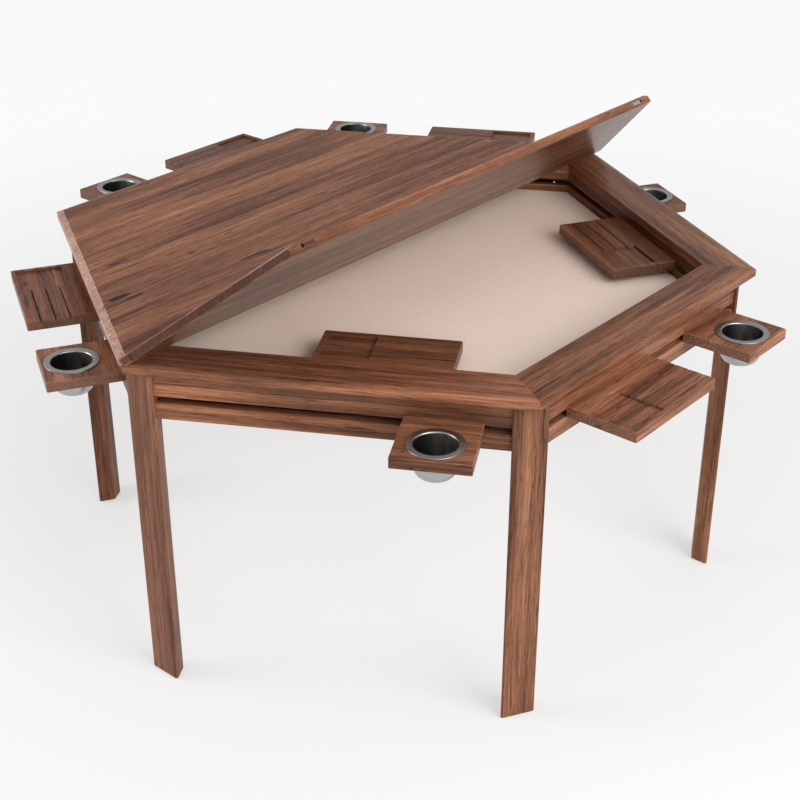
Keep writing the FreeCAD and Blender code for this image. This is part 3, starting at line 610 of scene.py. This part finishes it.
# The low tone paints these strips and blocks very dark, as painted shade in the hollow.
painted_shade_walnut = ring_walnut("painted_shade_walnut", 231.0, 0.32, 0.0)
edge_round = 0.0006
divider_half = 0.302
divider_out = (0.6115, 0.6495)
divider_height = (0.6945, 0.7005)
slot_end_near = 0.304
slot_end_far = 0.347
slot_end_out = (0.6505, 0.6545)
slot_end_height = (0.6768, 0.6912)
for index, side in enumerate(SIDES):
    along_span = (-divider_half, divider_half)
    add_plate(f"divider_{side}", index, along_span, divider_out, divider_height)
    for end, hand in ((-1, "right"), (1, "left")):
        along_span = sorted((end * slot_end_near, end * slot_end_far))
        name = f"slot_end_{side}_{hand}"
        add_plate(name, index, along_span, slot_end_out, slot_end_height)
print("hollow closed on", side_count, "sides")

# %% [markdown]
# The topper is glued up from wide planks whose grain runs along the hinge line, from corner to
# corner. The folding leaf is the same panel turned up about that line, so its three directions are
# turned with it, by the angle between the two leaves' faces. The photograph shows a few knots and
# dark streaks on the lying leaf; they are placed by their distance along and across it. The lying
# leaf's bevels are painted paler than its face, a painted highlight, and where they cut across the
# grain they show end grain. The raised leaf has a paler strip along its hinge edge with a thin dark
# line inside it, and its underside, which is what the camera sees, is painted darker as painted
# shade.

# %% Topper
joint = [item for item in frame["joints"] if item["name"] == "leaf_fold"][0]
hinge_line = Vector(joint["axis"]).normalized() * -1
hinge_point = Vector(joint["pos_m"])
fold_open = math.radians(-joint["range_deg"][0])
across_leaf = UP.cross(hinge_line)
folding_across = Matrix.Rotation(-fold_open, 3, hinge_line) @ across_leaf
folding_up = Matrix.Rotation(-fold_open, 3, hinge_line) @ UP

main_marks = [
    (-0.628, 0.209, 0.036, 0.0090, 0.92), (-0.606, 0.189, 0.032, 0.0062, 0.78),
    (-0.650, 0.192, 0.060, 0.0160, 0.32), (-0.514, 0.349, 0.034, 0.0075, 0.66),
    (-0.480, 0.335, 0.040, 0.0045, 0.40), (-0.371, 0.269, 0.016, 0.0050, 0.70),
    (-0.402, 0.299, 0.026, 0.0045, 0.45), (-0.287, 0.157, 0.050, 0.0065, 0.78),
    (-0.242, 0.149, 0.060, 0.0045, 0.42), (-0.242, 0.290, 0.014, 0.0040, 0.60),
    (0.207, 0.335, 0.070, 0.0070, 0.42), (0.178, 0.160, 0.080, 0.0070, 0.40),
    (0.075, 0.299, 0.035, 0.0050, 0.45), (-0.153, 0.681, 0.040, 0.0060, 0.45)]


leaf_flat = 0.6838


def sawn_bevel(paint):
    """1 on the bevels that cut across the grain, which show end grain although they slope."""
    here = paint.place()
    zone = None
    for index in (SIDES.index("back"), SIDES.index("front_left")):
        reach = here.dot(tuple(out_of_side(index))).between(leaf_flat, leaf_flat + 0.0008)
        zone = zone.apply("MAXIMUM", reach) if zone else reach
    return zone


# Bevels beyond the flat are painted paler as a painted highlight; sawn_bevel shows their real end
# grain.
main_cut = new_cut(301.0, plank=0.14, tone=1.22, marks=main_marks, gloss=0.10, end_colours=PALE_END,
                   changes=[beyond_flat(leaf_flat, 1.12)], end_zone=sawn_bevel)
wear("main_leaf", walnut("main_leaf", (0, 0, 0), hinge_line, UP, main_cut))


hinge_strip_width = 0.016


def hinge_edge_strip(paint):
    """A paler strip along the leaf's hinge edge, with a thin dark line on its inner side."""
    here = paint.place() - tuple(hinge_point)
    away = here.dot(tuple(folding_across)).apply("ABSOLUTE")
    past_strip = away.between(hinge_strip_width, hinge_strip_width + 0.0010)
    edge_dark_line = past_strip * away.between(hinge_strip_width + 0.0040, hinge_strip_width + 0.0055, 1.0, 0.0)
    return 1.25 - past_strip * 0.25 - edge_dark_line * 0.55


# The last change paints the underside darker as painted shade.
folding_cut = new_cut(315.0, plank=0.14, tone=1.02, gloss=0.38, end_colours=DARK_END,
                      changes=[hinge_edge_strip, facing_towards(folding_up * -1, 0.9, 0.99, 0.66)])
folding_walnut = walnut("folding_leaf", hinge_point, hinge_line, folding_up, folding_cut)
wear("folding_leaf", folding_walnut)
print("leaf stands open", round(math.degrees(fold_open), 1), "degrees")

# %% [markdown]
# The trays are short boards with their grain along the table's side, like the rails that hold
# them. They are cut from odd lengths, so they differ most in tone, and a few carry a knot or a dark
# streak. Those are placed by their distance along the side and out from the table's middle. The
# small bevels are painted paler, a painted highlight, and the floors of the card grooves are
# painted dark, as painted shade.

# %% Trays
tray_tones = [0.95, 1.28, 1.0, 0.88, 0.86, 1.05]
tray_marks = {
    "card_tray_front_left": [
        (-0.098, 0.816, 0.050, 0.0030, 0.60), (-0.210, 0.805, 0.012, 0.0075, 0.55)],
    "card_tray_front_right": [
        (-0.074, 0.813, 0.046, 0.0036, 0.60), (-0.225, 0.812, 0.022, 0.0027, 0.55)],
    "cup_tray_front_left": [
        (0.251, 0.812, 0.026, 0.0024, 0.60)],
    "cup_tray_front": [
        (0.164, 0.802, 0.006, 0.0040, 0.60), (0.270, 0.824, 0.027, 0.0015, 0.55)],
}
for index, side in enumerate(SIDES):
    for kind in ("cup_tray", "card_tray", "inner_card_tray"):
        node = f"{kind}_{side}"
        if node not in nodes:
            continue
        seed += seed_step
        tone = tray_tones[index] * (0.80 if kind == "inner_card_tray" else 1.0)
        marks = [(along, -out, half_length, half_width, depth)
                 for along, out, half_length, half_width, depth in tray_marks.get(node, [])]
        tray_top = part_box(node)[1].z
        # Bevels are painted paler as a painted highlight and groove floors darker as painted shade.
        changes = [bevel_painted_highlight(1.35), groove_painted_shade(tray_top, 0.0056, 0.0058, 0.15)]
        cut = new_cut(seed, plank=0.3, tone=tone, marks=marks, gloss=0.22, changes=changes)
        wear(node, walnut(node, (0, 0, 0), side_direction(index), UP, cut))
print("trays painted up to seed", seed)

# %% [markdown]
# The play area is lined with pale felt, stretched over the board and glued. Felt has no weave: it
# is a mat of short fibres, so its colour is speckled, it is faintly lumpy, and it has a soft sheen
# at a low angle. A flat solid would look like card, so the cloth is its own mesh, cut to the same
# hexagon, with its edge rolled down to the board and a slight unevenness in its surface.

# %% Felt cloth
felt_low, felt_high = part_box("play_felt")
felt_top = felt_high.z
felt_apothem = felt_high.y
felt_thickness = felt_top - felt_low.z


def unevenness(x, y):
    """A height from -1 to 1 that wanders slowly over the cloth."""
    return 0.5 * math.sin(9.1 * x + 2.3 * y) * math.cos(7.3 * y - 3.1 * x) + 0.5 * math.sin(
        17.7 * x - 11.9 * y + 1.3) * math.cos(6.1 * x + 15.3 * y)


def make_felt():
    """A hexagonal cloth of rings and spokes; its last rings roll down over the board's edge."""
    cloth = bmesh.new()
    ring_count = 70
    wave = 0.00022
    roll_steps = 4
    roll = felt_thickness * 0.9
    centre = cloth.verts.new((0, 0, felt_top))
    rings = [[centre]]
    flat_apothem = felt_apothem - roll
    for ring in range(1, ring_count + roll_steps + 1):
        if ring <= ring_count:
            apothem = flat_apothem * ring / ring_count
            drop = 0.0
        else:
            bend = math.pi / 2 * (ring - ring_count) / roll_steps
            apothem = flat_apothem + roll * math.sin(bend)
            drop = roll * (1 - math.cos(bend))
        radius = apothem / math.cos(math.pi / side_count)
        around = min(ring, ring_count)
        verts = []
        for side in range(side_count):
            start = side_turn * side
            first = Vector((math.cos(start), math.sin(start), 0)) * radius
            second = Vector((math.cos(start + side_turn), math.sin(start + side_turn), 0)) * radius
            for step in range(around):
                point = first.lerp(second, step / around)
                height = felt_top - wave + wave * unevenness(point.x, point.y) - drop
                verts.append(cloth.verts.new((point.x, point.y, height)))
        rings.append(verts)
    for ring in range(1, len(rings)):
        inner, outer = rings[ring - 1], rings[ring]
        inner_count, outer_count = len(inner), len(outer)
        if inner_count == outer_count:
            for step in range(outer_count):
                after = (step + 1) % outer_count
                cloth.faces.new((inner[step], outer[step], outer[after], inner[after]))
            continue
        around = outer_count // side_count
        for side in range(side_count):
            for step in range(around):
                here = outer[side * around + step]
                after = outer[(side * around + step + 1) % outer_count]
                below = inner[(side * (around - 1) + step) % inner_count]
                cloth.faces.new((below, here, after))
                if step < around - 1:
                    beside = inner[(side * (around - 1) + step + 1) % inner_count]
                    cloth.faces.new((below, after, beside))
    cloth.normal_update()
    mesh = bpy.data.meshes.new("play_felt_cloth")
    cloth.to_mesh(mesh)
    cloth.free()
    mesh.shade_smooth()
    return link_mesh("play_felt_cloth", mesh)


def felt_finish():
    paint = Paint("felt")
    here = paint.place()
    fibre = paint.noise(here * 900.0, 3.0, 0.7)
    tufts = paint.noise(here * 160.0, 2.0, 0.6)
    patches = paint.noise(here * 5.0, 2.0, 0.5)
    level = fibre * 0.45 + tufts * 0.35 + patches * 0.2
    colour = paint.ramp(level, [(0.32, (0.87, 0.685, 0.565)), (0.5, (0.965, 0.785, 0.660)),
                                (0.68, (0.985, 0.840, 0.720))])
    return paint.finish(
        Base_Color=colour, Roughness=(0.86 + tufts * 0.12), Specular_IOR_Level=0.15,
        Sheen_Weight=0.25, Sheen_Roughness=0.4,
        Normal=paint.bump(fibre * 0.6 + tufts * 0.4, 0.0006, 0.6))


felt_cloth = make_felt()
felt_cloth.data.materials.append(felt_finish())
wear("play_felt", felt_cloth.data.materials[0])
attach(felt_cloth, "frame")
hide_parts("play_felt")

# %% [markdown]
# The cups are spun from sheet steel. Spinning leaves fine rings round the axis, so the brushing
# follows the angle round each cup: noise that is drawn out round the axis and squeezed across it.
# Inside, the steel is painted dark as painted shade, with paler streaks down the wall and a broad
# patch toward the far wall as painted reflections, so it looks far darker than the flange and the
# underside, whose outer bowl gets a slight painted reflection. What counts as inside is read from
# the way the surface faces: towards the axis, or up on the floor of the bowl.

# %% Steel
def spun_steel(name, centre):
    paint = Paint(name)
    here = paint.place() - tuple(centre)
    x, y, z = paint.parts(here)
    radius = (x * x + y * y).apply("SQRT")
    angle = y.apply("ARCTAN2", x)
    lines = paint.noise(paint.vector(angle * 1.5, radius * 1400.0, z * 1400.0), 3.0, 0.6)
    smudge = paint.noise(here * 45.0, 2.0, 0.5)
    away = paint.facing("Normal").dot(paint.vector(x / radius, y / radius, -0.6))
    # Inside the cup the steel is painted dark as painted shade; streaks and a broad patch toward
    # the far wall are painted reflections, and the outer bowl gets a slight painted reflection.
    inside = away.between(-0.1, 0.1, 1.0, 0.0) * radius.between(0.0418, 0.0424, 1.0, 0.0)
    streak = paint.noise(paint.vector(angle * 2.2, z * 6.0, 0.0), 2.0, 0.6).between(0.45, 0.72)
    under = away.between(-0.1, 0.1) * radius.between(0.0445, 0.0455, 1.0, 0.0)
    bright = (lines * 0.20 + smudge * 0.08 + 0.25) * (under * 0.10 + 1.0)
    far_wall_highlight = (x * 0.35 + y * 0.94) / radius
    dark = lines * 0.06 + streak * 0.12 + far_wall_highlight.between(0.55, 1.0) * smudge * 0.8 + 0.07
    tone = bright + (dark - bright) * inside
    grey = paint.vector(tone, tone * 0.985, tone * 0.965)
    return paint.finish(
        Base_Color=grey, Metallic=1.0, Roughness=(0.22 + lines * 0.14 + smudge * 0.06),
        Normal=paint.bump(lines, 0.00006, 0.5))


for side in SIDES:
    node = f"cup_{side}"
    low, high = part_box(node)
    centre = Vector(((low.x + high.x) / 2, (low.y + high.y) / 2, 0))
    wear(node, spun_steel(node, centre))
print("cups painted")

# %% [markdown]
# The small parts are brass hinges, steel bolts, steel plates let into the raised leaf's edge and
# plastic glides under the legs. All the metal is brushed. The front edge plate is painted as brown
# as the wood round it, a painted dark reflection, and both plates have a painted dark hole, painted
# shade where a hole would be.

# %% Small metal and plastic
def plain_metal(name, colour, roughness, grain=600.0, painted_dark=None):
    """Brushed metal; the last argument gives, from a place, tints of painted shade and how much of
    each shows there.
    """
    paint = Paint(name)
    here = paint.place()
    scratches = paint.noise(here * (grain, grain * 0.08, grain), 3.0, 0.6)
    cloud = paint.noise(here * 30.0, 2.0, 0.5)
    level = scratches * 0.5 + cloud * 0.5
    dull = tuple(value * 0.72 for value in colour)
    tinted = paint.ramp(level, [(0.35, dull), (0.62, colour)])
    if painted_dark:
        for share, tint in painted_dark(here):
            tinted = paint.mix(share, tinted, tint)
    return paint.finish(Base_Color=tinted, Metallic=1.0, Roughness=(roughness + scratches * 0.15),
                        Normal=paint.bump(scratches, 0.00005, 0.5))


brass = plain_metal("hinge_brass", (0.62, 0.44, 0.19), 0.25)
for node in ("hinge_fixed_plates", "hinge_moving_plates", "hinge_pins"):
    wear(node, brass)

plates = nodes["leaf_edge_plates"]
plate_ends = [(plates.matrix_world @ vertex.co).dot(hinge_line) for vertex in plates.data.vertices]
plate_hole = 0.006


def plate_painted_shade(here):
    """Front plate painted brown, a painted dark reflection; a painted shade hole at each plate's
    outer end.
    """
    brown = (0.17, 0.075, 0.045)
    hole_shade = (0.015, 0.011, 0.009)
    along = here.dot(tuple(hinge_line))
    front_edge = min(plate_ends) + plate_hole
    back_edge = max(plate_ends) - plate_hole
    front_hole = along.between(front_edge, front_edge + 0.001, 1.0, 0.0)
    back_hole = along.between(back_edge - 0.001, back_edge)
    return [(along.between(-0.01, 0.01, 0.95, 0.0), brown),
            (front_hole.apply("MAXIMUM", back_hole) * 0.97, hole_shade)]


wear("leaf_edge_plates", plain_metal("plate_steel", (0.66, 0.65, 0.63), 0.22, painted_dark=plate_painted_shade))
wear("corner_bolts", plain_metal("bolt_steel", (0.42, 0.42, 0.43), 0.30))


def glide_finish():
    paint = Paint("glide_plastic")
    here = paint.place()
    grit = paint.noise(here * 700.0, 3.0, 0.6)
    tint = paint.ramp(grit, [(0.35, (0.020, 0.020, 0.021)), (0.65, (0.045, 0.044, 0.042))])
    return paint.finish(Base_Color=tint, Roughness=(0.5 + grit * 0.2),
                        Normal=paint.bump(grit, 0.0001, 0.5))


wear("leg_glides", glide_finish())
print("small parts painted")
